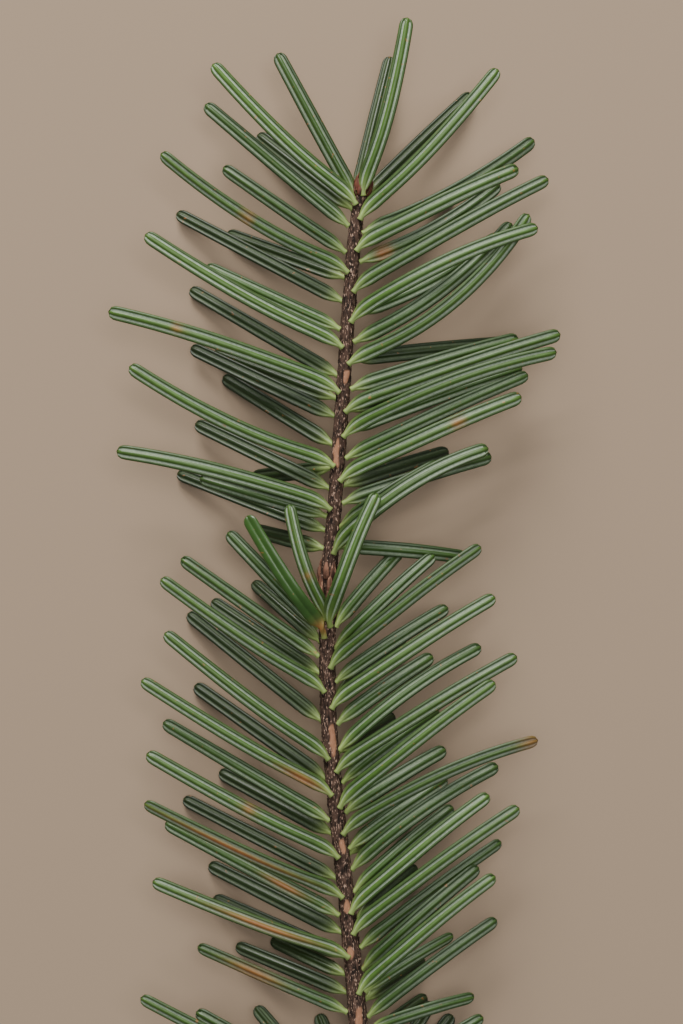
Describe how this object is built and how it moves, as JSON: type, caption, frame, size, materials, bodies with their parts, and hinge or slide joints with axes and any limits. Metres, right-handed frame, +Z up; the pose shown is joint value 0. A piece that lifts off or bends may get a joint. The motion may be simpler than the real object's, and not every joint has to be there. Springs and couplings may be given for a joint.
{
  "type": "cut twig of silver fir",
  "caption": "Cut conifer twig lying flat, pale underside up: a slim stem with flat needles in ranks down both sides and an end bud.",
  "frame": {"origin": "middle of the twig's outline, on the surface that it lies on", "axes": "+Y along the stem towards its growing end, +Z up, out of the needles' pale side, +X to the right of that"},
  "size_m": [0.0601, 0.1497, 0.0134],
  "materials": {
    "bark": "dull rough bark, dark brown",
    "bud_scales": "papery reddish-brown bud scales",
    "needle_green": "waxy green needles with two pale bands on the underside"
  },
  "bodies": {
    "root": {"bud_scale_sleeve": "bud_scales", "end_bud": "bud_scales", "spray_back_left_1": "needle_green", "spray_back_left_2": "needle_green", "spray_back_left_3": "needle_green", "spray_back_left_4": "needle_green", "spray_back_left_5": "needle_green", "spray_back_left_6": "needle_green", "spray_back_left_7": "needle_green", "spray_back_left_8": "needle_green", "spray_back_right_1": "needle_green", "spray_back_right_2": "needle_green", "spray_back_right_3": "needle_green", "spray_back_right_4": "needle_green", "spray_back_right_5": "needle_green", "spray_back_right_6": "needle_green", "spray_front_left_1": "needle_green", "spray_front_left_2": "needle_green", "spray_front_left_3": "needle_green", "spray_front_left_4": "needle_green", "spray_front_left_5": "needle_green", "spray_front_left_6": "needle_green", "spray_front_left_7": "needle_green", "spray_front_left_8": "needle_green", "spray_front_right_1": "needle_green", "spray_front_right_10": "needle_green", "spray_front_right_2": "needle_green", "spray_front_right_3": "needle_green", "spray_front_right_4": "needle_green", "spray_front_right_5": "needle_green", "spray_front_right_6": "needle_green", "spray_front_right_7": "needle_green", "spray_front_right_8": "needle_green", "spray_front_right_9": "needle_green", "spray_side_left_1": "needle_green", "spray_side_left_2": "needle_green", "spray_side_left_3": "needle_green", "spray_side_left_4": "needle_green", "spray_side_left_5": "needle_green", "spray_side_left_6": "needle_green", "spray_side_right_1": "needle_green", "spray_side_right_10": "needle_green", "spray_side_right_2": "needle_green", "spray_side_right_3": "needle_green", "spray_side_right_4": "needle_green", "spray_side_right_5": "needle_green", "spray_side_right_6": "needle_green", "spray_side_right_7": "needle_green", "spray_side_right_8": "needle_green", "spray_side_right_9": "needle_green", "stem": "bark"}
  },
  "joints": []
}
